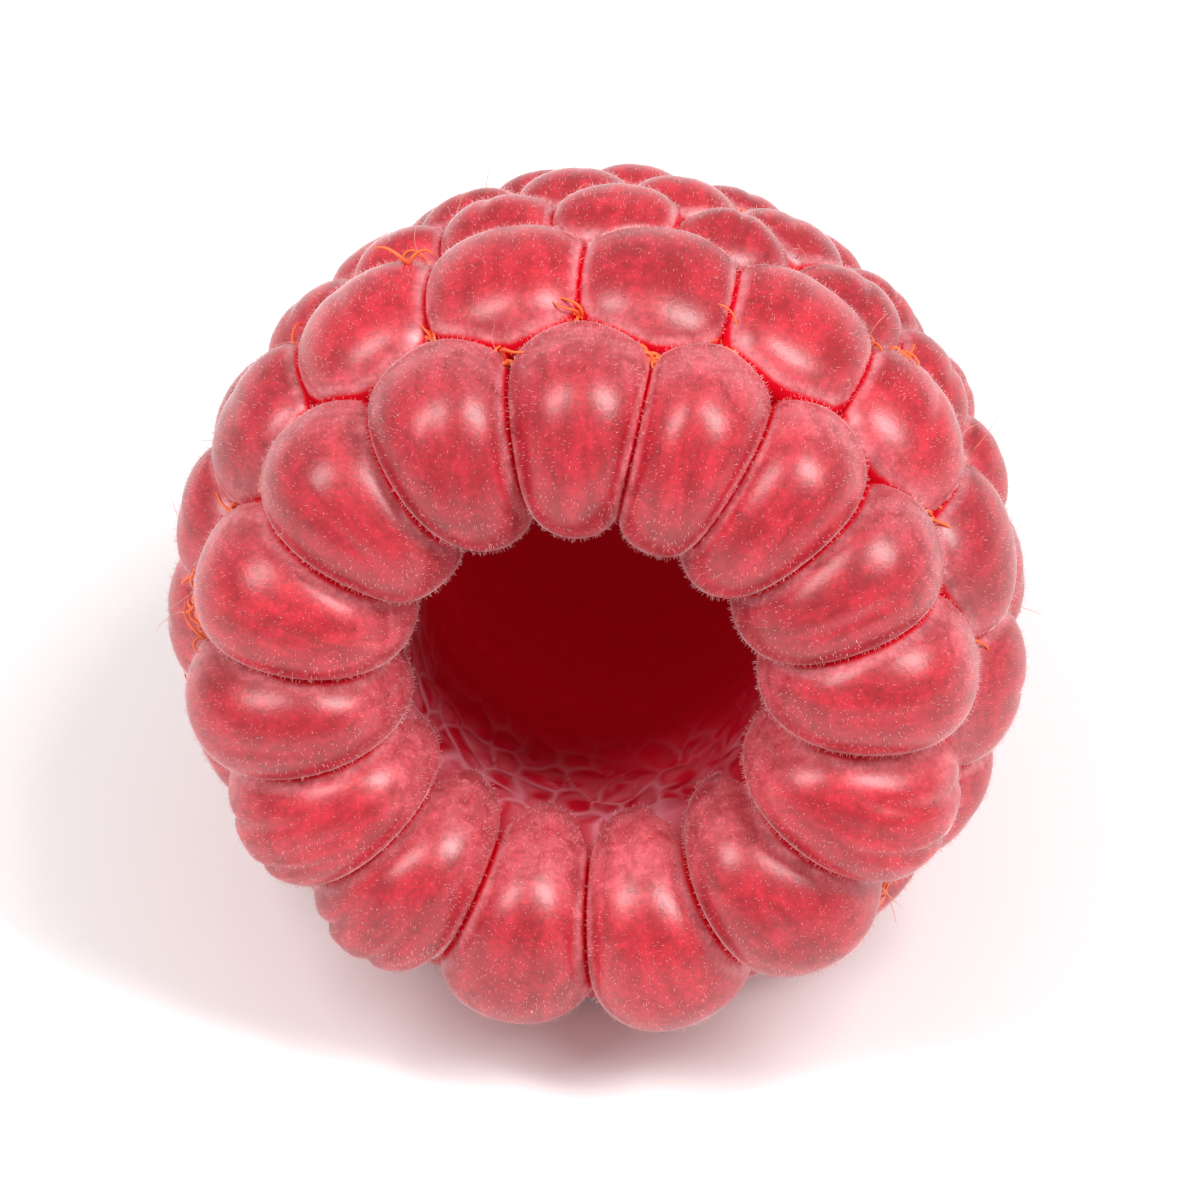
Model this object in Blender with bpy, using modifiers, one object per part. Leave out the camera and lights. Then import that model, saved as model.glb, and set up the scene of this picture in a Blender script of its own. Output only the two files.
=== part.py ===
"""A picked raspberry, lying on its side with its open end towards -Y.

The fruit is one body: plump drupelets grown round a hollow, with a ring of long
drupelets round the mouth where the white receptacle stayed on the plant. It is
built in a frame of its own, with the mouth at station 0 and the tip at station
LENGTH along the axis, and then laid down on the surface z = 0.

Lengths at the top are in millimetres, and the model is in metres.
"""

import math

import bmesh
import bpy
import numpy as np
from mathutils import Matrix, Vector

MM = 0.001

# The whole fruit, measured over the tops of the drupelets: it flares from the mouth along an
# ellipse MOUTH_FLARE long, and closes at the tip along a superellipse of power TIP_ROUNDNESS
LENGTH = 20.0
WIDEST_RADIUS = 10.8
WIDEST_STATION = 6.0
MOUTH_FLARE = 8.2
TIP_ROUNDNESS = 1.8

# The ring of long drupelets round the mouth, by their turns as seen into it: 0 is left, 90 is up
RING_TURNS = (88, 64, 40, 15, -9, -32, -56, -81, -108, -135, -162, 171, 149, 128, 109)
RING_RADIUS = 7.15
RING_STATION = 2.9
RING_HALF_WIDTH = 1.95
RING_HALF_LENGTH = 2.75
RING_HALF_DEPTH = 2.75
RING_LEAN = math.radians(12.0)
RING_TAPER = 0.2

# The rows of round drupelets behind the ring: large ones in the first row, and small ones after it
FIRST_ROW_STATION = 5.5
BASE_WIDTH = 4.0
TIP_WIDTH = 2.75
SHRINKING = 6.0  # the power of the distance to the tip that the extra width goes with
ROW_PITCH_SHARE = 0.86
HALF_WIDTH_SHARE = 0.56
DRUPELET_DEPTH = 2.1
PLUMPNESS = 2.35  # the power of a drupelet's superellipse, where 2 is a sphere
SEED = 15

# How far the drupelets stray from even rows, and how they settle against each other
STRAY_ALONG = 0.22
STRAY_ROUND = 0.3
SIZE_SPREAD = 0.08
LARGEST_STRAY = 1.8
SETTLING_STEPS = 90
SETTLING_SHARE = 0.3
CROWDING = 1.03
RING_OUTER_RADIUS = 9.5
RING_OUTER_STATION = 2.6

# The flesh that joins the drupelets, as (radius, station) at its lip, and the hollow inside it
FLESH_DEPTH = 1.45
HOLLOW_RADIUS = 4.6
HOLLOW_MOUTH_STATION = 3.4
HOLLOW_END = 14.6
HOLLOW_ROUNDNESS = 2.3
LIP = ((5.4, 2.5), (7.0, 2.1), (8.3, 2.8))
PROFILE_STEPS = 9
TURN_STEPS = 30

# How it lies: the mouth looks along -Y and a little up
REST_TILT = math.radians(17.0)
MOUTH_CENTRE = (0.0, -8.6, 12.0)
FLAT_CUT_SIZE = 40.0

# How finely the envelope is measured, and the (segments, rings) of a drupelet's ball
ENVELOPE_POINTS = 2000
RING_BALL = (12, 8)
ROW_BALL = (9, 7)


def clear_scene():
    """Removes whatever the scene starts with."""
    for obj in list(bpy.data.objects):
        bpy.data.objects.remove(obj)


def new_collection(name):
    """A collection linked to the scene."""
    collection = bpy.data.collections.new(name)
    bpy.context.scene.collection.children.link(collection)
    return collection


def envelope_radius(station):
    """Radius over the drupelets' tops at a distance from the mouth."""
    station = np.asarray(station, float)
    front = np.clip((WIDEST_STATION - station) / MOUTH_FLARE, 0.0, 1.0)
    back = np.clip((station - WIDEST_STATION) / (LENGTH - WIDEST_STATION), 0.0, 1.0)
    closing = (1.0 - back**TIP_ROUNDNESS) ** (1.0 / TIP_ROUNDNESS)
    return WIDEST_RADIUS * np.sqrt(1.0 - front**2) * closing


def envelope_table():
    """Station, radius and distance along the envelope, from the first row to the tip."""
    turn = np.linspace(0.0, math.pi / 2, ENVELOPE_POINTS)
    station = FIRST_ROW_STATION + (LENGTH - FIRST_ROW_STATION) * np.sin(turn)
    radius = envelope_radius(station)
    steps = np.hypot(np.diff(station), np.diff(radius))
    return station, radius, np.concatenate([[0.0], np.cumsum(steps)])


def drupelet_width(distance, whole):
    """The drupelets shrink quickly behind the first row, and hardly any more towards the tip."""
    return TIP_WIDTH + (BASE_WIDTH - TIP_WIDTH) * (1.0 - distance / whole) ** SHRINKING


def start_rows(table, random):
    """Distance along the envelope, turn and width of each drupelet, in rows set half a drupelet apart."""
    _, radius, distance = table
    whole = distance[-1]
    rows = []
    at = 0.0
    shift = 0.5
    while at < whole - TIP_WIDTH / 2:
        width = drupelet_width(at, whole)
        count = max(1, round(2 * math.pi * np.interp(at, distance, radius) / width))
        turn = (np.arange(count) + shift) * 2 * math.pi / count + math.pi / 2
        rows.append(np.column_stack([np.full(count, at), turn]))
        at += width * ROW_PITCH_SHARE
        shift = 0.5 - shift
    rows.append(np.array([[whole, 0.0]]))
    placed = np.concatenate(rows)
    stray = random.normal(0.0, 1.0, placed.shape)
    along = np.clip(placed[:, 0] + STRAY_ALONG * stray[:, 0], 0.0, whole)
    reach = np.maximum(np.interp(along, distance, radius), TIP_WIDTH / 2)
    turn = placed[:, 1] + STRAY_ROUND * stray[:, 1] / reach
    spread = np.clip(random.normal(0.0, 1.0, len(along)), -LARGEST_STRAY, LARGEST_STRAY)
    return along, turn, drupelet_width(along, whole) * (1.0 + SIZE_SPREAD * spread)


def on_envelope(distance, turn, table):
    """Points on the envelope, with the directions round it, along it to the tip, and out of it."""
    station, radius, along = table
    reach = np.interp(distance, along, radius)
    rise = np.interp(distance, along, np.gradient(radius, along))
    run = np.interp(distance, along, np.gradient(station, along))
    slope = np.hypot(rise, run)
    rise, run = rise / slope, run / slope
    out_x, out_y = np.cos(turn), np.sin(turn)
    point = np.column_stack([reach * out_x, reach * out_y, np.interp(distance, along, station)])
    around = np.column_stack([-out_y, out_x, np.zeros_like(turn)])
    ahead = np.column_stack([rise * out_x, rise * out_y, run])
    outward = np.column_stack([run * out_x, run * out_y, -rise])
    return point, around, ahead, outward


def ring_ends():
    """Where the ring's outer ends lie, which the first row settles against."""
    turn = np.radians(RING_TURNS)
    across = RING_OUTER_RADIUS * np.cos(turn)
    upward = RING_OUTER_RADIUS * np.sin(turn)
    return np.column_stack([across, upward, np.full(len(turn), RING_OUTER_STATION)])


def settle(distance, turn, width, table):
    """Pushes crowded drupelets apart along the envelope until they share it evenly."""
    whole = table[2][-1]
    ring = ring_ends()
    widths = np.concatenate([width, np.full(len(ring), BASE_WIDTH)])
    for _ in range(SETTLING_STEPS):
        point, around, ahead, _ = on_envelope(distance, turn, table)
        gap = point[:, None] - np.concatenate([point, ring])[None]
        apart = np.maximum(np.linalg.norm(gap, axis=2), 1e-6)
        overlap = np.maximum(CROWDING * (width[:, None] + widths[None]) / 2 - apart, 0.0)
        push = SETTLING_SHARE * (gap / apart[..., None] * overlap[..., None]).sum(1)
        distance = np.clip(distance + (push * ahead).sum(1), 0.0, whole)
        reach = np.maximum(np.hypot(point[:, 0], point[:, 1]), TIP_WIDTH / 4)
        turn = turn + (push * around).sum(1) / reach
    return distance, turn


def ring_drupelets():
    """Centre, directions, half sizes and taper of the long drupelets round the mouth."""
    axis = np.array([0.0, 0.0, 1.0])
    upright, leaning = math.cos(RING_LEAN), math.sin(RING_LEAN)
    turns = np.radians(RING_TURNS)
    even_room = 4 * math.pi / len(turns)
    ring = []
    for number, turn in enumerate(turns):
        radial = np.array([math.cos(turn), math.sin(turn), 0.0])
        around = np.array([-math.sin(turn), math.cos(turn), 0.0])
        outward = leaning * radial - upright * axis
        long_way = upright * radial + leaning * axis
        neighbours = turns[number - 1], turns[(number + 1) % len(turns)]
        room = sum(abs(math.remainder(other - turn, 2 * math.pi)) for other in neighbours)
        half_width = RING_HALF_WIDTH * math.sqrt(room / even_room)
        centre = RING_RADIUS * radial + RING_STATION * axis
        halves = (half_width, RING_HALF_LENGTH, RING_HALF_DEPTH)
        ring.append((centre, (around, long_way, outward), halves, RING_TAPER))
    return ring


def row_drupelets():
    """Centre, directions, half sizes and taper of the round drupelets, in rows from the ring to the tip."""
    table = envelope_table()
    distance, turn, width = start_rows(table, np.random.default_rng(SEED))
    distance, turn = settle(distance, turn, width, table)
    point, around, ahead, outward = on_envelope(distance, turn, table)
    rows = []
    for number, size in enumerate(width):
        half = HALF_WIDTH_SHARE * size
        depth = DRUPELET_DEPTH * math.sqrt(size / BASE_WIDTH)
        centre = point[number] - depth * outward[number]
        directions = (around[number], ahead[number], outward[number])
        rows.append((centre, directions, (half, half, depth), 0.0))
    return rows


def lie_down():
    """The matrix that takes the fruit's own frame (millimetres) to the surface (metres)."""
    across = Vector((-1.0, 0.0, 0.0))
    upward = Vector((0.0, math.sin(REST_TILT), math.cos(REST_TILT)))
    inward = Vector((0.0, math.cos(REST_TILT), -math.sin(REST_TILT)))
    turned = Matrix((across, upward, inward)).transposed().to_4x4()
    return Matrix.Scale(MM, 4) @ Matrix.Translation(MOUTH_CENTRE) @ turned


def ball_mesh(name, fineness, taper):
    """A plump ball, a little squarer than a sphere, that widens along its Y by its taper."""
    segments, rings = fineness
    mesh = bpy.data.meshes.new(name)
    shape = bmesh.new()
    bmesh.ops.create_uvsphere(shape, u_segments=segments, v_segments=rings, radius=1.0)
    for point in shape.verts:
        spread = sum(abs(value) ** PLUMPNESS for value in point.co)
        point.co /= spread ** (1.0 / PLUMPNESS)
        point.co.x *= 1.0 + taper * point.co.y
    shape.to_mesh(mesh)
    shape.free()
    return mesh


def add_drupelets(collection, laid):
    """One stretched ball for each drupelet, its pole pointing out of the fruit."""
    kinds = (("ring", RING_BALL, ring_drupelets()), ("row", ROW_BALL, row_drupelets()))
    for row, fineness, drupelets in kinds:
        ball = ball_mesh(row + "_ball", fineness, drupelets[0][3])
        for number, (centre, directions, halves, _) in enumerate(drupelets):
            obj = bpy.data.objects.new(f"{row}_drupelet_{number:03d}", ball)
            collection.objects.link(obj)
            columns = [Vector(way) * half for way, half in zip(directions, halves)]
            place = Matrix(columns).transposed().to_4x4()
            place.translation = Vector(centre)
            obj.matrix_world = laid @ place


def flesh_profile():
    """Half section of the flesh as (radius, station), from the hollow's end round the lip to the tip."""
    depth = np.sin(np.linspace(math.pi / 2, 0.0, PROFILE_STEPS))
    inner_radius = HOLLOW_RADIUS * (1.0 - depth**HOLLOW_ROUNDNESS) ** (1.0 / HOLLOW_ROUNDNESS)
    inner_station = HOLLOW_MOUTH_STATION + (HOLLOW_END - HOLLOW_MOUTH_STATION) * depth
    table = envelope_table()
    at = np.linspace(0.0, table[2][-1], PROFILE_STEPS + 2)
    point, _, _, outward = on_envelope(at, np.zeros_like(at), table)
    outer = (point - FLESH_DEPTH * outward)[:, [0, 2]]
    outer[-1, 0] = 0.0
    return list(zip(inner_radius, inner_station)) + list(LIP) + [tuple(pair) for pair in outer]


def add_flesh(laid):
    """The cup of flesh: the half section turned once round the axis."""
    outline = flesh_profile()
    mesh = bpy.data.meshes.new("flesh_section")
    ends = [(i, i + 1) for i in range(len(outline) - 1)]
    mesh.from_pydata([(r * MM, 0.0, s * MM) for r, s in outline], ends, [])
    obj = bpy.data.objects.new("raspberry", mesh)
    bpy.context.scene.collection.objects.link(obj)
    turned = obj.modifiers.new("turned", "SCREW")
    turned.steps = turned.render_steps = TURN_STEPS
    turned.use_merge_vertices = True
    turned.merge_threshold = 0.000001
    obj.matrix_world = laid @ Matrix.Scale(1.0 / MM, 4)
    return obj


def applied(obj):
    """Replaces an object's mesh by its evaluated one, in world space, with no modifiers left."""
    graph = bpy.context.evaluated_depsgraph_get()
    mesh = bpy.data.meshes.new_from_object(obj.evaluated_get(graph))
    mesh.transform(obj.matrix_world)
    obj.modifiers.clear()
    obj.matrix_world = Matrix.Identity(4)
    obj.data = mesh
    return obj


def face_outwards(obj):
    """Turns every face of a closed mesh outwards."""
    shape = bmesh.new()
    shape.from_mesh(obj.data)
    bmesh.ops.recalc_face_normals(shape, faces=shape.faces)
    shape.to_mesh(obj.data)
    shape.free()


def fuse(obj, collection):
    """Joins a collection's objects to obj in one Boolean union, and removes them."""
    joined = obj.modifiers.new("joined", "BOOLEAN")
    joined.operation = "UNION"
    joined.solver = "MANIFOLD"
    joined.operand_type = "COLLECTION"
    joined.collection = collection
    bpy.context.view_layer.update()
    applied(obj)
    for other in list(collection.objects):
        bpy.data.objects.remove(other)
    bpy.data.collections.remove(collection)


def shells(shape):
    """The groups of points that edges join, largest first."""
    left = set(shape.verts)
    groups = []
    while left:
        fringe = [left.pop()]
        group = set(fringe)
        while fringe:
            point = fringe.pop()
            found = {edge.other_vert(point) for edge in point.link_edges} - group
            group |= found
            fringe.extend(found)
        left -= group
        groups.append(group)
    return sorted(groups, key=len, reverse=True)


def finish_surface(obj):
    """Splits the fused faces into triangles, and fills the small gaps sealed in between the drupelets."""
    shape = bmesh.new()
    shape.from_mesh(obj.data)
    for group in shells(shape)[1:]:
        bmesh.ops.delete(shape, geom=list(group), context="VERTS")
    bmesh.ops.triangulate(shape, faces=shape.faces)
    shape.to_mesh(obj.data)
    shape.free()
    obj.data.shade_smooth()


def flatten_underneath(obj, cutters):
    """Cuts away what lies below z = 0, where the lowest drupelets are pressed flat."""
    mesh = bpy.data.meshes.new("surface")
    shape = bmesh.new()
    bmesh.ops.create_cube(shape, size=FLAT_CUT_SIZE * MM)
    shape.to_mesh(mesh)
    shape.free()
    block = bpy.data.objects.new("surface_cutter", mesh)
    cutters.objects.link(block)
    block.location = (0.0, 0.0, -FLAT_CUT_SIZE * MM / 2)
    block.hide_render = True
    block.display_type = "WIRE"
    pressed = obj.modifiers.new("pressed_flat", "BOOLEAN")
    pressed.operation = "DIFFERENCE"
    pressed.solver = "MANIFOLD"
    pressed.object = block
    bpy.context.view_layer.update()
    applied(obj)


def skin():
    """The red skin of the drupelets."""
    material = bpy.data.materials.new("raspberry_skin")
    material.use_nodes = True
    shader = material.node_tree.nodes["Principled BSDF"]
    shader.inputs["Base Color"].default_value = (0.52, 0.032, 0.055, 1.0)
    shader.inputs["Roughness"].default_value = 0.38
    shader.inputs["Metallic"].default_value = 0.0
    return material


def main():
    clear_scene()
    part = new_collection("raspberry")
    cutters = new_collection("cutters")
    balls = new_collection("drupelets")
    laid = lie_down()
    add_drupelets(balls, laid)
    berry = add_flesh(laid)
    bpy.context.scene.collection.objects.unlink(berry)
    part.objects.link(berry)
    bpy.context.view_layer.update()
    applied(berry)
    face_outwards(berry)
    fuse(berry, balls)
    flatten_underneath(berry, cutters)
    finish_surface(berry)
    berry.data.materials.clear()
    berry.data.materials.append(skin())


main()
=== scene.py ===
# %% [markdown]
# # A picked raspberry
#
# A raspberry is a cluster of small round fruits, the drupelets, grown together round a white core.
# When it is picked the core stays on the plant, and the fruit is left as a thick-walled cup with a
# ring of long drupelets round its mouth. This lesson dresses the plain solid of such a berry with
# finely rounded drupelets, the lining of its hollow, its dried styles and its down, and then gives
# each of them its finish. Everything is worked out with numpy as whole arrays of points.

import math

import bpy
import numpy as np
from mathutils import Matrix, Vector
from mathutils.bvhtree import BVHTree


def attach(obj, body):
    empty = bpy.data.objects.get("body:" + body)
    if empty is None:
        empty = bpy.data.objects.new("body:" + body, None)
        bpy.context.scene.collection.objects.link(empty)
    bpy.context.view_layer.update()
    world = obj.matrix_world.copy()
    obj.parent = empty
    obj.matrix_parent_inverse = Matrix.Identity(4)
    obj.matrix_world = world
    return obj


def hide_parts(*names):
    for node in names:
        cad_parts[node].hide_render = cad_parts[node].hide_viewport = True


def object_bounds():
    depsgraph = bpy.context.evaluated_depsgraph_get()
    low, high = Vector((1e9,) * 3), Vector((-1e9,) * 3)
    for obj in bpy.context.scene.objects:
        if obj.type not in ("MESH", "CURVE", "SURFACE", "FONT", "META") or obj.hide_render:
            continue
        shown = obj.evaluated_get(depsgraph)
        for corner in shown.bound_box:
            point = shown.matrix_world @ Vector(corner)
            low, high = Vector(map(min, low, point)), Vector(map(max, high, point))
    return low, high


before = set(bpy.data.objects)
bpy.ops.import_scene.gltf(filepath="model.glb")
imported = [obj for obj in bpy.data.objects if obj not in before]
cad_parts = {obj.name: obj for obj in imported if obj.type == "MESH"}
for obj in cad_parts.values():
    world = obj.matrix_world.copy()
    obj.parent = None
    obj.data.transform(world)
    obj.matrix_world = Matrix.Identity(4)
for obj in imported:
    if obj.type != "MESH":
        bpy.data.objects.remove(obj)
solid_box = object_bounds()
print("solid in mm:", [round(1000 * (high - low), 1) for low, high in zip(*solid_box)])

# %% [markdown]
# ## The camera
#
# The berry is looked at from in front and above, almost straight into its mouth, from about a third
# of a metre away. A long lens frames it closely without changing that perspective. The camera aims
# at the middle of the berry's outline as it sees it, so that it has no need of a lens shift.

# %% Set up the camera
MM = 0.001
VIEW_AZIMUTH = math.radians(7.0)
VIEW_ELEVATION = math.radians(48.0)
VIEW_DISTANCE = 331 * MM
FRAME_WIDTH = 30.0 * MM
CLIP_START = 10 * MM

lowest, highest = (np.array(corner) for corner in solid_box)
middle = (lowest + highest) / 2


def direction(azimuth, elevation):
    """The unit vector from the berry to a place: azimuth 0 is in front, and it grows to the right."""
    level = math.cos(elevation)
    return np.array([math.sin(azimuth) * level, -math.cos(azimuth) * level, math.sin(elevation)])


def look_at(obj, target):
    """Turns a camera or a light, whose own view is along its -Z, to face a point."""
    way = Vector(target) - obj.location
    obj.rotation_euler = way.to_track_quat("-Z", "Y").to_euler()


# The outline is measured along the camera's own right and up directions.
back = direction(VIEW_AZIMUTH, VIEW_ELEVATION)
right = np.array([math.cos(VIEW_AZIMUTH), math.sin(VIEW_AZIMUTH), 0.0])
up = np.cross(back, right)
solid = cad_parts["raspberry"].data
solid_points = np.empty(3 * len(solid.vertices))
solid.vertices.foreach_get("co", solid_points)
seen = solid_points.reshape(-1, 3) @ np.column_stack([right, up])
aim_right, aim_up = (seen.min(0) + seen.max(0)) / 2
aim = aim_right * right + aim_up * up + (middle @ back) * back

camera = bpy.data.objects.new("camera", bpy.data.cameras.new("camera"))
camera.location = aim + VIEW_DISTANCE * back
camera.data.lens = camera.data.sensor_width * VIEW_DISTANCE / FRAME_WIDTH
camera.data.clip_start = CLIP_START
look_at(camera, aim)
bpy.context.scene.collection.objects.link(camera)
bpy.context.scene.camera = camera
print("lens in mm:", round(camera.data.lens))

# %% [markdown]
# ## Where the drupelets grow
#
# The drupelets sit in rows, each row half a drupelet out of step with the one before, and where they
# are crowded they push each other along until they share the surface evenly. The same rule with the
# same seed made the solid, so each fine drupelet comes out where its plain one is. The rule works in
# the fruit's own frame, in millimetres, with the mouth at station 0 and the tip at station LENGTH.

# %% The fruit's own sizes, in millimetres
LENGTH = 20.0
WIDEST_RADIUS = 10.8
WIDEST_STATION = 6.0
MOUTH_FLARE = 8.2
TIP_ROUNDNESS = 1.8
REST_TILT = math.radians(17.0)
MOUTH_CENTRE = np.array([0.0, -8.6, 12.0])
SMALLEST = 1e-9


def unit(vectors):
    """The same vectors with length 1."""
    return vectors / np.maximum(np.linalg.norm(vectors, axis=-1, keepdims=True), SMALLEST)


# Rows: where the fruit's own X, Y and axis point once it lies down, turned by the rest tilt.
LAID = np.array([
    [-1.0, 0.0, 0.0],
    [0.0, math.sin(REST_TILT), math.cos(REST_TILT)],
    [0.0, math.cos(REST_TILT), -math.sin(REST_TILT)],
])


def to_world(points):
    """From the fruit's frame in millimetres to the scene's in metres."""
    return MM * (np.asarray(points) @ LAID + MOUTH_CENTRE)


def to_fruit(points):
    """From the scene's frame in metres to the fruit's in millimetres."""
    return (np.asarray(points) / MM - MOUTH_CENTRE) @ LAID.T


# %% The envelope over the drupelets' tops
FIRST_ROW_STATION = 5.5
ENVELOPE_POINTS = 2000


def envelope_radius(station):
    """An ellipse that flares from the mouth, then a superellipse that closes at the tip."""
    front = np.clip((WIDEST_STATION - station) / MOUTH_FLARE, 0.0, 1.0)
    back = np.clip((station - WIDEST_STATION) / (LENGTH - WIDEST_STATION), 0.0, 1.0)
    closing = (1.0 - back**TIP_ROUNDNESS) ** (1.0 / TIP_ROUNDNESS)
    return WIDEST_RADIUS * np.sqrt(1.0 - front**2) * closing


def envelope_table():
    """Station, radius and distance along the envelope, from the first row to the tip."""
    turn = np.linspace(0.0, math.pi / 2, ENVELOPE_POINTS)
    station = FIRST_ROW_STATION + (LENGTH - FIRST_ROW_STATION) * np.sin(turn)
    radius = envelope_radius(station)
    steps = np.hypot(np.diff(station), np.diff(radius))
    return station, radius, np.concatenate([[0.0], np.cumsum(steps)])


def on_envelope(distance, turn, table):
    """Points on the envelope, with the directions round it, along it to the tip, and out of it."""
    station, radius, along = table
    reach = np.interp(distance, along, radius)
    rise = np.interp(distance, along, np.gradient(radius, along))
    run = np.interp(distance, along, np.gradient(station, along))
    slope = np.hypot(rise, run)
    rise, run = rise / slope, run / slope
    out_x, out_y = np.cos(turn), np.sin(turn)
    point = np.column_stack([reach * out_x, reach * out_y, np.interp(distance, along, station)])
    around = np.column_stack([-out_y, out_x, np.zeros_like(turn)])
    ahead = np.column_stack([rise * out_x, rise * out_y, run])
    outward = np.column_stack([run * out_x, run * out_y, -rise])
    return point, around, ahead, outward


# %% The ring of long drupelets round the mouth
# Their turns, as seen into the mouth: 0 is left and 90 is up.
RING_TURNS = np.radians((88, 64, 40, 15, -9, -32, -56, -81, -108, -135, -162, 171, 149, 128, 109))
RING_RADIUS = 7.15
RING_STATION = 2.9
RING_HALF_WIDTH = 1.95
RING_HALF_LENGTH = 2.75
RING_HALF_DEPTH = 2.75
RING_LEAN = math.radians(12.0)
RING_TAPER = 0.2


def ring_drupelets():
    """Centres, directions (across, long way, outward) and half sizes of the ring's drupelets."""
    none, one = np.zeros(len(RING_TURNS)), np.ones(len(RING_TURNS))
    radial = np.column_stack([np.cos(RING_TURNS), np.sin(RING_TURNS), none])
    around = np.column_stack([-np.sin(RING_TURNS), np.cos(RING_TURNS), none])
    axis = np.column_stack([none, none, one])
    upright, leaning = math.cos(RING_LEAN), math.sin(RING_LEAN)
    outward = leaning * radial - upright * axis
    long_way = upright * radial + leaning * axis
    gap = np.abs(np.angle(np.exp(1j * (np.roll(RING_TURNS, 1) - RING_TURNS))))
    even_gap = 2 * math.pi / len(RING_TURNS)
    width = RING_HALF_WIDTH * np.sqrt((gap + np.roll(gap, -1)) / 2 / even_gap)
    halves = np.column_stack([width, RING_HALF_LENGTH * one, RING_HALF_DEPTH * one])
    return RING_RADIUS * radial + RING_STATION * axis, np.stack([around, long_way, outward], 1), halves


# %% The rows of round drupelets behind the ring
BASE_WIDTH = 4.0
TIP_WIDTH = 2.75
SHRINKING = 6.0
ROW_PITCH_SHARE = 0.86
HALF_WIDTH_SHARE = 0.56
DRUPELET_DEPTH = 2.1
SEED = 15
STRAY_ALONG = 0.22
STRAY_ROUND = 0.3
SIZE_SPREAD = 0.08
LARGEST_STRAY = 1.8


def drupelet_width(distance, whole):
    """The drupelets shrink quickly behind the first row, and hardly any more towards the tip."""
    return TIP_WIDTH + (BASE_WIDTH - TIP_WIDTH) * (1.0 - distance / whole) ** SHRINKING


def start_rows(table, random):
    """Distance along the envelope, turn and width of each drupelet, before they settle."""
    _, radius, distance = table
    whole = distance[-1]
    rows = []
    at = 0.0
    shift = 0.5
    while at < whole - TIP_WIDTH / 2:
        width = drupelet_width(at, whole)
        count = max(1, round(2 * math.pi * np.interp(at, distance, radius) / width))
        turn = (np.arange(count) + shift) * 2 * math.pi / count + math.pi / 2
        rows.append(np.column_stack([np.full(count, at), turn]))
        at += width * ROW_PITCH_SHARE
        shift = 0.5 - shift
    rows.append(np.array([[whole, 0.0]]))
    placed = np.concatenate(rows)
    stray = random.normal(0.0, 1.0, placed.shape)
    along = np.clip(placed[:, 0] + STRAY_ALONG * stray[:, 0], 0.0, whole)
    reach = np.maximum(np.interp(along, distance, radius), TIP_WIDTH / 2)
    turn = placed[:, 1] + STRAY_ROUND * stray[:, 1] / reach
    spread = np.clip(random.normal(0.0, 1.0, len(along)), -LARGEST_STRAY, LARGEST_STRAY)
    return along, turn, drupelet_width(along, whole) * (1.0 + SIZE_SPREAD * spread)


# %% Let the drupelets settle against each other
SETTLING_STEPS = 90
SETTLING_SHARE = 0.3
CROWDING = 1.03
RING_OUTER_RADIUS = 9.5
RING_OUTER_STATION = 2.6
CLOSEST = 1e-6


def settle(distance, turn, width, table):
    """Pushes crowded drupelets apart along the envelope until they share it evenly."""
    whole = table[2][-1]
    across, upward = RING_OUTER_RADIUS * np.cos(RING_TURNS), RING_OUTER_RADIUS * np.sin(RING_TURNS)
    ring = np.column_stack([across, upward, np.full(len(RING_TURNS), RING_OUTER_STATION)])
    widths = np.concatenate([width, np.full(len(ring), BASE_WIDTH)])
    for _ in range(SETTLING_STEPS):
        point, around, ahead, _ = on_envelope(distance, turn, table)
        gap = point[:, None] - np.concatenate([point, ring])[None]
        apart = np.maximum(np.linalg.norm(gap, axis=2), CLOSEST)
        overlap = np.maximum(CROWDING * (width[:, None] + widths[None]) / 2 - apart, 0.0)
        push = SETTLING_SHARE * (gap / apart[..., None] * overlap[..., None]).sum(1)
        distance = np.clip(distance + (push * ahead).sum(1), 0.0, whole)
        reach = np.maximum(np.hypot(point[:, 0], point[:, 1]), TIP_WIDTH / 4)
        turn = turn + (push * around).sum(1) / reach
    return distance, turn


def row_drupelets():
    """Centres, directions and half sizes of the round drupelets, from the ring to the tip."""
    table = envelope_table()
    distance, turn, width = start_rows(table, np.random.default_rng(SEED))
    distance, turn = settle(distance, turn, width, table)
    point, around, ahead, outward = on_envelope(distance, turn, table)
    half = HALF_WIDTH_SHARE * width
    depth = DRUPELET_DEPTH * np.sqrt(width / BASE_WIDTH)
    centres = point - depth[:, None] * outward
    return centres, np.stack([around, ahead, outward], 1), np.column_stack([half, half, depth])


# %% All the drupelets together
# The solid's drupelets are slim enough to fuse cleanly. The fine ones are a little wider, so that
# they fill the corners between three.
ROW_SWELL = 1.09
RING_SWELL = 1.05

grown = [np.concatenate(pair) for pair in zip(ring_drupelets(), row_drupelets())]
CENTRES, DIRECTIONS, HALVES = grown
RING = np.arange(len(RING_TURNS))
ROWS = np.arange(len(RING_TURNS), len(CENTRES))
TAPERS = np.where(np.arange(len(CENTRES)) < len(RING_TURNS), RING_TAPER, 0.0)
HALVES[ROWS, :2] *= ROW_SWELL
HALVES[RING, 0] *= RING_SWELL
print("drupelets in the ring and in the rows:", len(RING), len(ROWS))

# %% [markdown]
# ## A closed surface from a grid
#
# A drupelet, a cup of flesh, a style and a hair all have the same plan: rings of points one after
# another, closed by a single point at each end. So one function joins such a grid into faces, for
# any number of them at once, and one puts points and faces into a mesh with foreach_set. Spin or a
# primitive would also do for one shape, but not for a hundred that differ.

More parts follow.
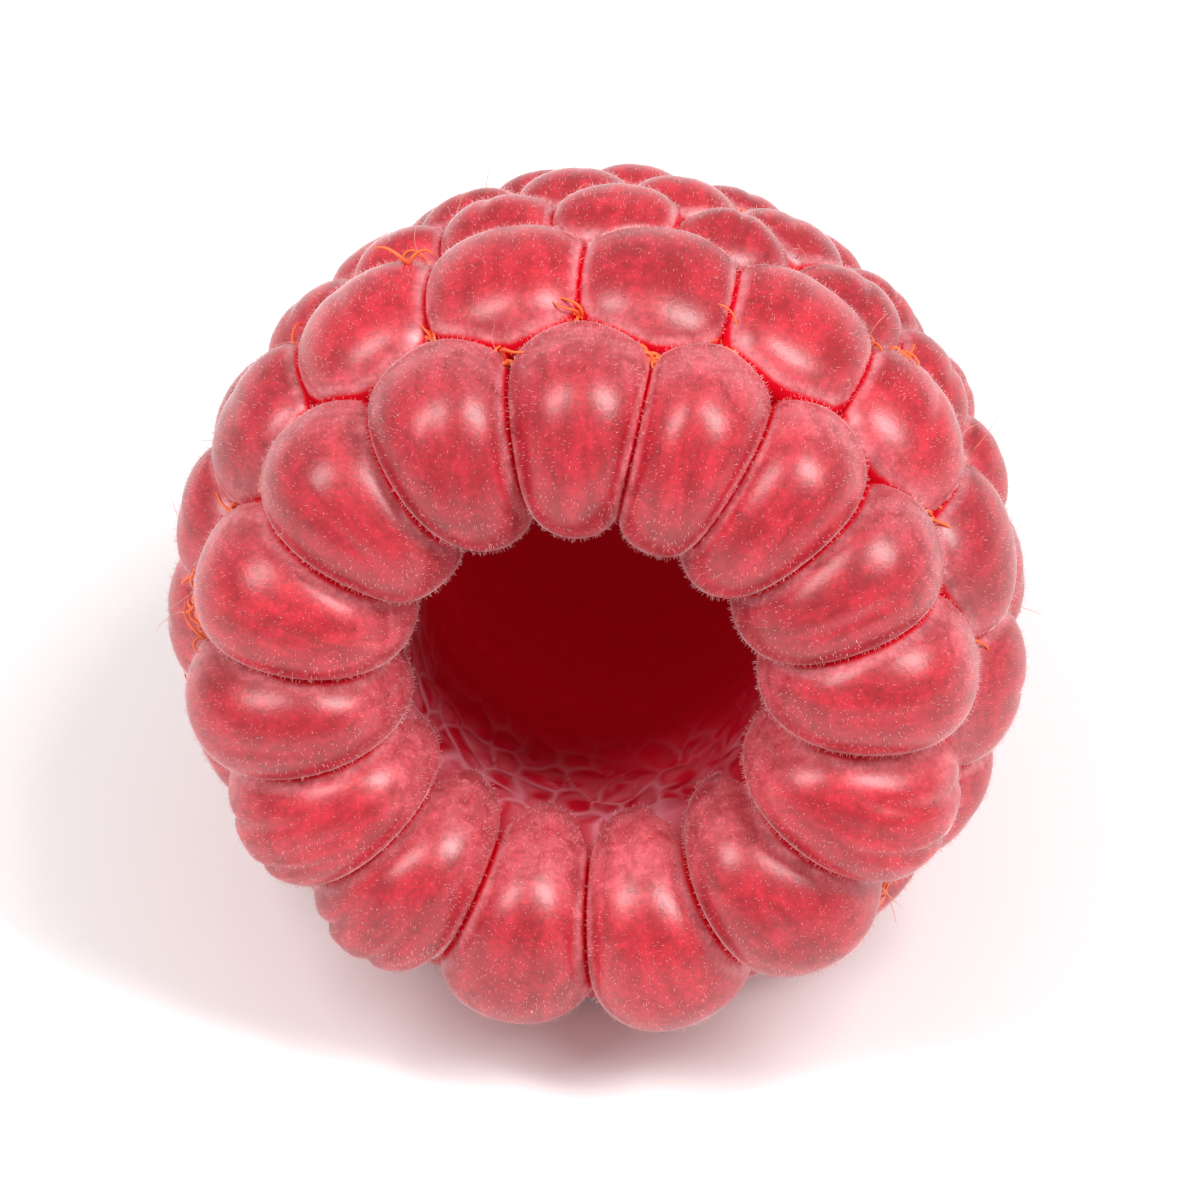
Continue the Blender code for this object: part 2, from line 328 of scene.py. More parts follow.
# %% Join grids into closed surfaces
def closed_faces(count, rings, sides):
    """Quads between neighbouring rings and a fan at each end pole, for count grids laid end to end.

    In one grid, point 0 is the first pole, ring r has the points from 1 + r * sides, and the last
    point is the other pole.
    """
    side = np.arange(sides)
    after = (side + 1) % sides
    start = 1 + np.arange(rings - 1)[:, None] * sides
    quads = np.stack([start + side, start + sides + side, start + sides + after, start + after], -1)
    last = 1 + (rings - 1) * sides
    first_fan = np.column_stack([np.zeros(sides, int), 1 + side, 1 + after])
    last_fan = np.column_stack([np.full(sides, rings * sides + 1), last + after, last + side])
    fans = np.concatenate([first_fan, last_fan])
    offset = (np.arange(count) * (rings * sides + 2))[:, None, None]
    return (quads.reshape(1, -1, 4) + offset).reshape(-1, 4), (fans[None] + offset).reshape(-1, 3)


def add_piece(name, grids, first, last, values):
    """A mesh piece from grids (count, rings, sides, 3) and their end poles, in the fruit's frame.

    values maps an attribute's name to its numbers, one or three for each joined point. A point that
    would lie under the floor is lifted on to it, which presses the lowest drupelets flat.
    """
    count, rings, sides, _ = grids.shape
    points = to_world(np.concatenate([first[:, None], grids.reshape(count, -1, 3), last[:, None]], 1))
    points[..., 2] = np.maximum(points[..., 2], 0.0)
    quads, fans = closed_faces(count, rings, sides)
    mesh = bpy.data.meshes.new(name)
    mesh.vertices.add(points.size // 3)
    mesh.vertices.foreach_set("co", points.astype(np.float32).ravel())
    corners = np.concatenate([quads.ravel(), fans.ravel()]).astype(np.int32)
    mesh.loops.add(len(corners))
    mesh.loops.foreach_set("vertex_index", corners)
    starts = np.concatenate([np.arange(len(quads)) * 4, quads.size + np.arange(len(fans)) * 3])
    mesh.polygons.add(len(starts))
    mesh.polygons.foreach_set("loop_start", starts.astype(np.int32))
    for label, numbers in values.items():
        threes = numbers.size > len(mesh.vertices)
        stored = mesh.attributes.new(label, "FLOAT_VECTOR" if threes else "FLOAT", "POINT")
        stored.data.foreach_set("vector" if threes else "value", numbers.astype(np.float32).ravel())
    mesh.update(calc_edges=True)
    mesh.shade_smooth()
    piece = bpy.data.objects.new(name, mesh)
    bpy.context.scene.collection.objects.link(piece)
    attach(piece, "root")
    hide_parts("raspberry")
    print(name, "triangles:", 2 * len(quads) + len(fans))
    return piece


# %% [markdown]
# ## The drupelets
#
# Each drupelet is a bag of juice, a little squarer than a ball, that its neighbours press flat where
# they touch it. Its surface is a function of two angles. The ball's point is drawn in towards the
# centre by a smooth limit: along each neighbour's direction it may come close to a plane just beyond
# their contact, but never past it. That gives the narrow creases and the rounded shoulders of the
# fruit, which a Boolean union of balls would leave as sharp valleys. A few drupelets of the ring have
# begun to dry, so their outer ends are wrinkled.

# %% Press a drupelet against its neighbours
PLUMPNESS = 2.15
FIRMNESS = 12.0
SQUEEZE = 1.08
NEIGHBOUR_GAP = 0.5
NEIGHBOUR_REACH = 2.2 * BASE_WIDTH


def ball_radius(number, ways):
    """Distance from a drupelet's centre to its free surface along unit vectors."""
    local = (ways @ DIRECTIONS[number].T) / HALVES[number]
    return (np.abs(local) ** PLUMPNESS).sum(-1) ** (-1.0 / PLUMPNESS)


def pressed(points, number):
    """Points (from the centre) pressed by the neighbours, and how near each one is to a contact.

    Each neighbour sets a plane, SQUEEZE times as far out as the contact with it, so that the two
    skins leave no gap. With s the share of the way to that plane, a point is scaled by
    (1 + sum of s ** FIRMNESS) ** (-1 / FIRMNESS), so no point passes a plane. The nearness is the
    sum to the power of 1 / FIRMNESS: 0 where the skin is free, and about 1 at a contact.
    """
    way = CENTRES - CENTRES[number]
    apart = np.linalg.norm(way, axis=1)
    apart[number] = math.inf
    totals = np.zeros(points.shape[:-1])
    for other in np.flatnonzero(apart < NEIGHBOUR_REACH):
        towards = way[other] / apart[other]
        mine = ball_radius(number, towards)
        theirs = ball_radius(other, -towards)
        if apart[other] < mine + theirs + NEIGHBOUR_GAP:
            room = SQUEEZE * apart[other] * mine / (mine + theirs)
            totals += (np.maximum(points @ towards, 0.0) / room) ** FIRMNESS
    return points * (1.0 + totals[..., None]) ** (-1.0 / FIRMNESS), totals ** (1.0 / FIRMNESS)


# %% Shape one drupelet
LUMPINESS = 0.012
LUMPS = 4
LUMP_TURNS = 2.2
GROOVE_DEPTH = 0.07
GROOVE_WIDTH = 0.1
GROOVE_LENGTH = 0.55
GROOVE_OFFSET = 0.12
GROOVE_SLANT = 0.25
WRINKLED = (5, 6, 10)
WRINKLES = 1.6
WRINKLE_WIDTH = 0.4
WRINKLE_DEPTH = 0.08
WRINKLE_START = 0.2


def drupelet(number, polar, around, random):
    """One drupelet's points in the fruit's frame, their nearness, and their places on it, -1 to 1.

    A ball's point, made plump and tapered, is swollen by a few soft waves and dented by a groove
    along its middle, and then pressed by the neighbours. A wrinkled one also has folds that run
    side by side and deepen to its outer end: valleys where a sine of the way across is near 0.
    """
    way = np.stack([np.sin(polar) * np.cos(around), np.sin(polar) * np.sin(around), np.cos(polar)], -1)
    ball = way / (np.abs(way) ** PLUMPNESS).sum(-1, keepdims=True) ** (1.0 / PLUMPNESS)
    ball[..., 0] *= 1.0 + TAPERS[number] * ball[..., 1]
    waves = random.normal(0.0, LUMP_TURNS, (LUMPS, 3))
    phases = random.uniform(0.0, 2 * math.pi, LUMPS)
    swelling = 1.0 + LUMPINESS * np.sin(way @ waves.T + phases).sum(-1, keepdims=True)
    offset = random.uniform(-GROOVE_OFFSET, GROOVE_OFFSET)
    bend = offset + random.uniform(-GROOVE_SLANT, GROOVE_SLANT) * ball[..., 1]
    across = (ball[..., 0] - bend) / GROOVE_WIDTH
    groove = np.exp(-(across**2) - (ball[..., 1] / GROOVE_LENGTH) ** 4)
    sized = ball * swelling * HALVES[number]
    if number in WRINKLED:
        fold = np.sin(math.pi * WRINKLES * ball[..., 0] + phases[0]) / WRINKLE_WIDTH
        outer_end = np.clip(WRINKLE_START + ball[..., 1], 0.0, 1.0)
        sized *= 1.0 - WRINKLE_DEPTH * (outer_end * np.exp(-(fold**2)))[..., None]
    depth = GROOVE_DEPTH * random.uniform(0.0, 1.0)
    sized[..., 2] -= depth * groove * np.clip(way[..., 2], 0.0, 1.0)
    points, nearness = pressed(sized @ DIRECTIONS[number], number)
    local = np.stack([ball[..., 0] - bend, ball[..., 1], ball[..., 2]], -1)
    return CENTRES[number] + points, nearness, local


# %% Make the ring's drupelets and the rows' drupelets
POLE_CROWDING = 1.25
RING_GRID = (60, 72)
ROW_GRID = (24, 34)


def drupelet_piece(name, numbers, fineness, seed):
    """A piece of several drupelets, with more rings of points on the domes that show."""
    rings, sides = fineness
    polar = math.pi * (np.arange(1, rings + 1) / (rings + 1)) ** POLE_CROWDING
    around = np.arange(sides) * 2 * math.pi / sides
    polar, around = np.meshgrid(polar, around, indexing="ij")
    polar = np.concatenate([[0.0], polar.ravel(), [math.pi]])
    around = np.concatenate([[0.0], around.ravel(), [0.0]])
    random = np.random.default_rng(seed)
    made = [drupelet(number, polar, around, random) for number in numbers]
    points, nearness, local = (np.stack(part) for part in zip(*made))
    shade = np.repeat(random.uniform(0.0, 1.0, len(numbers)), points.shape[1])
    grids = points[:, 1:-1].reshape(len(numbers), rings, sides, 3)
    values = {"nearness": nearness, "local": local, "shade": shade}
    piece = add_piece(name, grids, points[:, 0], points[:, -1], values)
    return piece, grids, nearness[:, 1:-1].reshape(grids.shape[:3])


ring_piece, ring_grids, ring_nearness = drupelet_piece("ring_drupelets", RING, RING_GRID, 31)
row_piece, row_grids, row_nearness = drupelet_piece("row_drupelets", ROWS, ROW_GRID, 32)

# %% [markdown]
# ## The flesh and the lining of the hollow
#
# Under the drupelets the fruit is one cup of flesh. Outside it only shows as the red floor of the
# deepest creases. Inside it is the wall of the hollow, where every drupelet's inner end stands out as
# a low bump and pale torn fibres run between them. It is a surface of revolution with a relief: the
# profile runs from the hollow's end, round the lip, to the tip, and each point of the wall is moved
# by its distances to the two nearest bump centres.

# %% The half section of the flesh
FLESH_DEPTH = 1.45
HOLLOW_RADIUS = 4.6
HOLLOW_MOUTH_STATION = 3.4
HOLLOW_END = 14.6
HOLLOW_ROUNDNESS = 2.3
LIP = np.array([[5.4, 2.5], [7.0, 2.1], [8.3, 2.8]])
WALL_RINGS = 130
WALL_CROWDING = 1.7
OUTER_RINGS = 20
PROFILE_POINTS = 400
OUTER_POINTS = 60


def hollow_profile(depth):
    """Radius and station of the hollow's wall, by its depth: 0 at the mouth, 1 at the end."""
    radius = HOLLOW_RADIUS * (1.0 - depth**HOLLOW_ROUNDNESS) ** (1.0 / HOLLOW_ROUNDNESS)
    station = HOLLOW_MOUTH_STATION + (HOLLOW_END - HOLLOW_MOUTH_STATION) * depth
    return np.column_stack([radius, station])


def lengths_along(profile):
    """Distance along a profile from its start to each of its points."""
    steps = np.linalg.norm(np.diff(profile, axis=0), axis=1)
    return np.concatenate([[0.0], np.cumsum(steps)])


def spaced(profile, count, crowding=1.0):
    """The same profile with count points along it, evenly spaced or crowded towards its end."""
    along = lengths_along(profile)
    at = along[-1] * (1.0 - (1.0 - np.linspace(0.0, 1.0, count)) ** crowding)
    return np.column_stack([np.interp(at, along, profile[:, k]) for k in range(2)])


table = envelope_table()
outer_at = np.linspace(0.0, table[2][-1], OUTER_POINTS)
outer_point, _, _, outer_way = on_envelope(outer_at, np.zeros_like(outer_at), table)
outer_profile = (outer_point - FLESH_DEPTH * outer_way)[:, [0, 2]]
outer_profile[-1, 0] = 0.0
depth = np.sin(np.linspace(math.pi / 2, 0.0, PROFILE_POINTS))
wall_profile = spaced(hollow_profile(depth), WALL_RINGS + 1, WALL_CROWDING)
rest_profile = spaced(np.concatenate([wall_profile[-1:], LIP, outer_profile]), OUTER_RINGS + 1)
print("wall length in mm:", round(float(lengths_along(wall_profile)[-1]), 1))

# %% The bumps on the wall, and the web between them
WALL_SIDES = 360
BUMP_PITCH = 1.05
BUMP_ROW_SHARE = 0.87
BUMP_STRAY_ROUND = 0.2
BUMP_STRAY_ALONG = 0.16
BUMP_HEIGHT = 0.1
BUMP_EDGE = 0.4
DEEP_BUMP_SHARE = 0.3
WEB_WIDTH = 0.15
WEB_HEIGHT = 0.05
WEB_FADE = (4.6, 7.4)
WEB_WANDER = 0.16
WANDER_SIZE = 0.8
WIDTH_SPREAD = 0.5
WIDTH_SIZE = 0.6
TORN_SHARE = 0.75
TORN_SPREAD = 0.7
TORN_SIZE = 1.3
SHRED_SIZE = 0.7
SHRED_WIDTH_SHARE = 0.6
SHRED_STRENGTH = 0.5
HAZE = 0.35
HAZE_SHARE = 0.5
HAZE_SIZE = 0.5
LIP_SHADE = (4.0, 8.5)
LIP_FADE_RINGS = 12
NOISE_WAVES = 14
NOISE_SPREAD = (0.6, 1.4)


def turned(profile, turn):
    """Points of a half section (radius, station) at each turn, as (profile, turn, 3)."""
    radius, station = profile[:, :1], profile[:, 1:]
    return np.stack([radius * np.cos(turn), radius * np.sin(turn), station * np.ones_like(turn)], -1)


def bump_centres(pitch, random):
    """The drupelets' inner ends, in rows on the wall, each row half a bump out of step."""
    along = lengths_along(wall_profile)
    rows = []
    for row, at in enumerate(np.arange(pitch / 2, along[-1] + pitch, pitch * BUMP_ROW_SHARE)):
        radius = np.interp(at, along, wall_profile[:, 0])
        station = np.interp(at, along, wall_profile[:, 1])
        count = max(3, round(2 * math.pi * radius / pitch))
        turn = (np.arange(count) + row / 2) * 2 * math.pi / count
        turn = turn + random.normal(0.0, BUMP_STRAY_ROUND * pitch, count) / max(radius, pitch)
        station = station + random.normal(0.0, BUMP_STRAY_ALONG * pitch, count)
        rows.append(np.column_stack([radius * np.cos(turn), radius * np.sin(turn), station]))
    return np.concatenate(rows)


def soft_noise(points, size, random):
    """A smooth random field of about -1 to 1 with features of this size: a sum of sine waves."""
    ways = unit(random.normal(0.0, 1.0, (NOISE_WAVES, 3)))
    ways = ways * random.uniform(*NOISE_SPREAD, (NOISE_WAVES, 1))
    phases = random.uniform(0.0, 2 * math.pi, NOISE_WAVES)
    return np.sin(points @ (ways * math.pi / size).T + phases).sum(-1) / math.sqrt(NOISE_WAVES)


def edge_distance(points, centres):
    """Distance to the second nearest centre less that to the nearest: 0 on the edges between bumps."""
    nearest = np.full((2,) + points.shape[:-1], np.inf)
    for centre in centres:
        apart = np.linalg.norm(points - centre, axis=-1)
        nearest[1] = np.minimum(nearest[1], np.maximum(apart, nearest[0]))
        nearest[0] = np.minimum(nearest[0], apart)
    return nearest[1] - nearest[0]


def wall_relief(points, random):
    """How far the wall stands in, and how much pale torn web there is.

    The web lies along the edges of a coarse and a fine net of bumps, where soft noise leaves it, and
    a thin haze lies between them. Both fade out away from the mouth.
    """
    wander = np.stack([soft_noise(points, WANDER_SIZE, random) for _ in range(3)], -1)
    moved = points + WEB_WANDER * wander
    coarse = edge_distance(moved, bump_centres(BUMP_PITCH, random))
    moved_again = moved + WEB_WANDER / 2 * wander[..., ::-1]
    fine = edge_distance(moved_again, bump_centres(BUMP_PITCH / 2, random))
    near_mouth = np.clip((WEB_FADE[1] - points[..., 2]) / (WEB_FADE[1] - WEB_FADE[0]), 0.0, 1.0)
    torn = TORN_SHARE + TORN_SPREAD * soft_noise(points, TORN_SIZE, random)
    thick = WEB_WIDTH * (1.0 + WIDTH_SPREAD * soft_noise(points, WIDTH_SIZE, random))
    web = np.exp(-((coarse / thick) ** 2)) * (np.clip(torn, 0.0, 1.0) * near_mouth)
    left = np.clip(soft_noise(points, SHRED_SIZE, random), 0.0, 1.0) * near_mouth
    shreds = np.exp(-((fine / (SHRED_WIDTH_SHARE * thick)) ** 2)) * left
    hazy = np.clip(HAZE_SHARE + soft_noise(points, HAZE_SIZE, random), 0.0, 1.0)
    haze = HAZE * near_mouth**2 * hazy
    web = np.maximum(np.maximum(web, SHRED_STRENGTH * shreds), haze)
    bump = BUMP_HEIGHT * (1.0 - np.exp(-((coarse / BUMP_EDGE) ** 2)))
    return bump * (DEEP_BUMP_SHARE + (1.0 - DEEP_BUMP_SHARE) * near_mouth) + WEB_HEIGHT * web, web


wall_turn = np.arange(WALL_SIDES) * 2 * math.pi / WALL_SIDES
wall_points = turned(wall_profile[1:], wall_turn)
relief, wall_web = wall_relief(wall_points, np.random.default_rng(41))
inwards = unit(-wall_points * [1.0, 1.0, 0.0])
fade = np.clip(np.arange(WALL_RINGS)[::-1] / LIP_FADE_RINGS, 0.0, 1.0)[:, None, None]
wall_points = wall_points + inwards * relief[..., None] * fade
print("share of the wall under pale web:", round(float(wall_web.mean()), 3))

# %% Make the flesh
outer_points = turned(rest_profile[1:-1], wall_turn)
flesh_grid = np.concatenate([wall_points, outer_points])[None]
flesh_poles = np.array([[0.0, 0.0, HOLLOW_END], [0.0, 0.0, rest_profile[-1, 1]]])
outside = np.zeros(outer_points.shape[0] * WALL_SIDES + 1)
web_values = np.concatenate([[0.0], wall_web.ravel(), outside])
# inside runs from 0 at the lip to 1 deep in the hollow, and the lining's painted light follows it.
inside = np.clip((wall_points[..., 2] - LIP_SHADE[0]) / (LIP_SHADE[1] - LIP_SHADE[0]), 0.0, 1.0)
inside_values = np.concatenate([[1.0], inside.ravel(), outside])
flesh_piece = add_piece(
    "flesh", flesh_grid, flesh_poles[:1], flesh_poles[1:],
    {"web": web_values, "inside": inside_values},
)

# %% [markdown]
# ## Styles, down and long hairs
#
# Three kinds of thread grow on the fruit. Each drupelet keeps the dried style of its flower, a thin
# curly orange-brown thread, and the wind and the picking leave them matted in tufts in the corners
# between drupelets. The skin is covered in very short down, which gives every drupelet part of its
# light rim; the rest of the rim is painted sheen in the skin's colour. And a few long pale hairs stand
# out of the creases. Styles and hairs are a circle carried along a curved path, many paths at once,
# and the down, of which there is most, is the plainest closed spindle. Hair curves would be quicker
# to make, but they are lost when the model is exported.

# %% Carry a circle along many paths
def threads(name, paths, radii, sides):
    """Tapered tubes along paths (count, steps, 3) with radii (count, steps), in the fruit's frame.

    At each step a circle lies in the plane square to the path, turned by the world axis that the
    path follows least, and the two end poles stand one radius beyond the ends.
    """
    along = np.gradient(paths, axis=1)
    along = unit(along)
    least = np.argmin(np.abs(along).mean(1), axis=1)
    helper = np.eye(3)[least][:, None]
    first = unit(np.cross(along, helper))
    second = np.cross(along, first)
    angle = np.arange(sides) * 2 * math.pi / sides
    across, upward = np.cos(angle)[:, None], np.sin(angle)[:, None]
    circle = first[:, :, None] * across + second[:, :, None] * upward
    grids = paths[:, :, None] + circle * radii[:, :, None, None]
    start = paths[:, 0] - along[:, 0] * radii[:, :1]
    end = paths[:, -1] + along[:, -1] * radii[:, -1:]
    return add_piece(name, grids, start, end, {})


def curls(roots, out, lean, lengths, bends, steps):
    """Paths that leave along out and bend evenly towards lean by an angle: arcs of a circle each."""
    at = np.linspace(0.0, 1.0, steps)[None, :, None]
    bends, lengths = bends[:, None, None], lengths[:, None, None]
    rise = np.sin(bends * at) / bends
    aside = (1.0 - np.cos(bends * at)) / bends
    return roots[:, None] + lengths * (out[:, None] * rise + lean[:, None] * aside)


# %% The corners where three drupelets meet
CORNER_REACH = 1.06
ABOVE_SKIN = 4.0


def corners_between():
    """Where each three touching drupelets have their corner, the way out, and if the ring is in it.

    The corner lies amid the three contact points, and the way out is square to the plane through
    the three centres.
    """
    way = CENTRES[None] - CENTRES[:, None]
    apart = np.linalg.norm(way, axis=2)
    np.fill_diagonal(apart, math.inf)
    # The way from a drupelet to itself is never used, but it needs a length.
    own = np.arange(len(CENTRES))
    way[own, own] = DIRECTIONS[:, 2]
    reach = np.stack([ball_radius(number, unit(way[number])) for number in range(len(CENTRES))])
    touching = apart < CORNER_REACH * (reach + reach.T)
    trios = np.argwhere(touching[:, :, None] & touching[:, None] & touching[None])
    trios = trios[(trios[:, 0] < trios[:, 1]) & (trios[:, 1] < trios[:, 2])]
    contacts = CENTRES[:, None] + way * (reach / (reach + reach.T))[..., None]
    middles = sum(contacts[trios[:, k], trios[:, k - 1]] for k in range(3)) / 3
    first, second, third = (CENTRES[trios[:, k]] for k in range(3))
    ways = unit(np.cross(second - first, third - first))
    inward = (ways * DIRECTIONS[trios, 2].sum(1)).sum(1) < 0
    ways[inward] *= -1.0
    return middles, ways, (trios < len(RING)).any(1)


def on_skin(points, ways, pieces):
    """Where a line that comes in along each way first meets one of the pieces."""
    graph = bpy.context.evaluated_depsgraph_get()
    trees = [BVHTree.FromObject(piece, graph) for piece in pieces]
    starts = to_world(points + ABOVE_SKIN * ways)
    found = []
    for start, way in zip(starts, -ways @ LAID):
        hits = [tree.ray_cast(start, way) for tree in trees]
        met = [(distance, tuple(place)) for place, _, _, distance in hits if place is not None]
        found.append(min(met)[1])
    return to_fruit(found)


corner_middles, corner_ways, beside_ring = corners_between()
corner_places = on_skin(corner_middles, corner_ways, [ring_piece, row_piece, flesh_piece])
print("corners between drupelets:", len(corner_places), "of them at the ring:", beside_ring.sum())

# %% The dried styles: tufts of short curly threads in some of the corners
STYLE_SHARE = 0.3
RING_STYLE_SHARE = 0.8
STYLE_RADIUS = 0.06
STYLE_LENGTHS = (0.7, 1.5)
STYLE_BENDS = (2.0, 6.0)
STYLE_STEPS = 14
STYLE_SIDES = 5
STYLE_THICKNESSES = (0.7, 1.2)
STYLES_IN_TUFT = (4, 8)
STYLE_LEAN = 0.35
STYLE_SINK = 0.1
STYLE_STRAY = 0.06
STYLE_SWAY = 0.1
STYLE_WAVE = 6.0
STYLE_END = 0.35
LOWEST_STYLE = 4 * MM

random = np.random.default_rng(53)
clear = to_world(corner_places)[:, 2] > LOWEST_STYLE
share = np.where(beside_ring, RING_STYLE_SHARE, STYLE_SHARE)
chosen = np.flatnonzero(clear & (random.uniform(0.0, 1.0, len(clear)) < share))
chosen = np.repeat(chosen, random.integers(*STYLES_IN_TUFT, len(chosen)))
count = len(chosen)
out = unit(corner_ways[chosen] + random.normal(0.0, STYLE_LEAN, (count, 3)))
lean = unit(np.cross(out, random.normal(0.0, 1.0, (count, 3))))
roots = corner_places[chosen] - STYLE_SINK * corner_ways[chosen]
roots = roots + random.normal(0.0, STYLE_STRAY, (count, 3))
lengths = random.uniform(*STYLE_LENGTHS, count)
bends = random.uniform(*STYLE_BENDS, count)
paths = curls(roots, out, lean, lengths, bends, STYLE_STEPS)
wave = np.sin(np.linspace(0.0, STYLE_WAVE, STYLE_STEPS))[None, :, None]
paths += np.cross(out, lean)[:, None] * wave * random.normal(0.0, STYLE_SWAY, (count, 1, 1))
taper = np.linspace(1.0, STYLE_END, STYLE_STEPS)[None]
taper = taper * random.uniform(*STYLE_THICKNESSES, (count, 1))
styles_piece = threads("styles", paths, STYLE_RADIUS * taper, STYLE_SIDES)

# %% The down: a short straight spindle wherever a random point falls on a free dome
DOWN_PER_PIECE = 33000
DOWN_PIECES = 2
DOWN_RADIUS = 0.005
DOWN_LENGTHS = (0.06, 0.15)
DOWN_LEAN = 0.3
LAST_DOWN = 0.9


def scatter(grids, nearnesses, count, random):
    """Random points and outward normals on the free parts of drupelets, evenly over their area."""
    across = np.roll(grids, -1, axis=2)
    parts = (grids[:, :-1], across[:, :-1], grids[:, 1:], across[:, 1:])
    corners = [part.reshape(-1, 3) for part in parts]
    normal = np.cross(corners[2] - corners[0], corners[1] - corners[0])
    area = np.linalg.norm(normal, axis=1) * (nearnesses[:, :-1].ravel() < LAST_DOWN)
    chosen = random.choice(len(area), count, p=area / area.sum())
    share = random.uniform(0.0, 1.0, (2, count, 1))
    near = corners[0][chosen] * (1 - share[0]) + corners[1][chosen] * share[0]
    far = corners[2][chosen] * (1 - share[0]) + corners[3][chosen] * share[0]
    return near * (1 - share[1]) + far * share[1], unit(normal[chosen]), area.sum()


def spindles(name, roots, ways, radius):
    """Straight threads from a root along a way: three points a third of the way up, and two poles."""
    helper = np.eye(3)[np.argmin(np.abs(ways), axis=1)]
    first = unit(np.cross(ways, helper))
    second = unit(np.cross(ways, first))
    angle = np.arange(3) * 2 * math.pi / 3
    ring = first[:, None] * np.cos(angle)[:, None] + second[:, None] * np.sin(angle)[:, None]
    grids = (roots + ways / 3)[:, None, None] + radius * ring[:, None]
    return add_piece(name, grids, roots, roots + ways, {})


random = np.random.default_rng(52)
skins = ((ring_grids, ring_nearness), (row_grids, row_nearness))
free_area = [scatter(grids, nearness, 1, random)[2] for grids, nearness in skins]
print("free skin in square mm, ring and rows:", [round(float(area)) for area in free_area])
ring_share = round(DOWN_PER_PIECE * free_area[0] / sum(free_area))
down_pieces = []
for number in range(DOWN_PIECES):
    counts = (ring_share, DOWN_PER_PIECE - ring_share)
    parts = [scatter(*skin, count, random) for skin, count in zip(skins, counts)]
    roots, outward = (np.concatenate([part[k] for part in parts]) for k in range(2))
    ways = unit(outward + random.normal(0.0, DOWN_LEAN, (DOWN_PER_PIECE, 3)))
    ways *= random.uniform(*DOWN_LENGTHS, (DOWN_PER_PIECE, 1))
    down_pieces.append(spindles(f"down_{number + 1}", roots, ways, DOWN_RADIUS))

# %% A few long hairs from the creases
# A hair that would stand too far out of the solid's box, or reach under the floor, is left out.
HAIR_COUNT = 110
HAIR_RADIUS = 0.014
HAIR_LENGTHS = (0.8, 1.5)
HAIR_BENDS = (0.3, 1.6)
HAIR_STEPS = 8
HAIR_SIDES = 4
HAIR_LEAN = 0.5
HAIR_END = 0.4
PROUD = 0.3 * MM

random = np.random.default_rng(54)
chosen = random.permutation(len(corner_places))[:HAIR_COUNT]
out = unit(corner_ways[chosen] + random.normal(0.0, HAIR_LEAN, (HAIR_COUNT, 3)))
lean = unit(np.cross(out, random.normal(0.0, 1.0, (HAIR_COUNT, 3))))
lengths = random.uniform(*HAIR_LENGTHS, HAIR_COUNT)
bends = random.uniform(*HAIR_BENDS, HAIR_COUNT)
paths = curls(corner_places[chosen], out, lean, lengths, bends, HAIR_STEPS)
placed = to_world(paths)
near_box = (placed > lowest - PROUD).all((1, 2)) & (placed < highest + PROUD).all((1, 2))
paths = paths[near_box & (placed[..., 2] > 0.0).all(1)]
radii = HAIR_RADIUS * np.linspace(1.0, HAIR_END, HAIR_STEPS) * np.ones((len(paths), 1))
hair_piece = threads("hairs", paths, radii, HAIR_SIDES)
print("long hairs:", len(paths))

# %% [markdown]
# ## Finishes
#
# Every colour is an sRGB hex value, turned to linear by one function. A pattern's scale comes from a
# real size in millimetres, but for the veins, which follow each drupelet's own coordinates. All
# patterns are procedural, so they need no images and stay sharp from near by. Small functions each
# add one kind of node.

# %% Helpers for materials
def linear(code):
    """An sRGB hex colour as linear red, green, blue and alpha."""
    values = np.array([int(code[k : k + 2], 16) for k in (1, 3, 5)]) / 255
    curved = np.where(values <= 0.04045, values / 12.92, ((values + 0.055) / 1.055) ** 2.4)
    return (*curved.tolist(), 1.0)


def per_metre(size_mm):
    """A texture's scale, on coordinates in metres, for features of this size."""
    return 1.0 / (size_mm * MM)


def add_node(tree, kind, inputs=None, **settings):
    """Adds a node with its settings; its inputs are set to values or linked to nodes' outputs."""
    node = tree.nodes.new(kind)
    for label, value in settings.items():
        setattr(node, label, value)
    for socket, value in (inputs or {}).items():
        if isinstance(value, bpy.types.NodeSocket):
            tree.links.new(value, node.inputs[socket])
        else:
            node.inputs[socket].default_value = value
    return node


def attribute(tree, name, output="Fac"):
    """One of the attributes that add_piece stored on the points."""
    return add_node(tree, "ShaderNodeAttribute", attribute_name=name).outputs[output]


def place_on_object(tree):
    """Where a point lies on its object, in metres."""
    return add_node(tree, "ShaderNodeTexCoord").outputs["Object"]


def noise(tree, place, scale, detail=2.0, roughness=0.5, distortion=0.0):
    """Soft random values from 0 to 1."""
    inputs = {
        "Vector": place, "Scale": scale, "Detail": detail, "Roughness": roughness,
        "Distortion": distortion,
    }
    return add_node(tree, "ShaderNodeTexNoise", inputs).outputs["Fac"]


def mapped(tree, value, source=(0.0, 1.0), target=(0.0, 1.0), curve="LINEAR"):
    """A value moved from one range to another and kept inside it."""
    inputs = {
        "Value": value, "From Min": source[0], "From Max": source[1], "To Min": target[0],
        "To Max": target[1],
    }
    return add_node(tree, "ShaderNodeMapRange", inputs, interpolation_type=curve).outputs["Result"]


def joined(tree, operation, first, second):
    """Two numbers joined by an operation."""
    inputs = {0: first, 1: second}
    return add_node(tree, "ShaderNodeMath", inputs, operation=operation).outputs["Value"]


def mixed(tree, share, first, second):
    """The first colour with a share of the second, each a hex code or another node's output."""
    ends = [linear(colour) if isinstance(colour, str) else colour for colour in (first, second)]
    inputs = {0: share, 6: ends[0], 7: ends[1]}
    return add_node(tree, "ShaderNodeMix", inputs, data_type="RGBA").outputs[2]


def brightened(tree, colour, strength):
    """A colour times a strength."""
    inputs = {0: colour, "Scale": strength}
    return add_node(tree, "ShaderNodeVectorMath", inputs, operation="SCALE").outputs["Vector"]


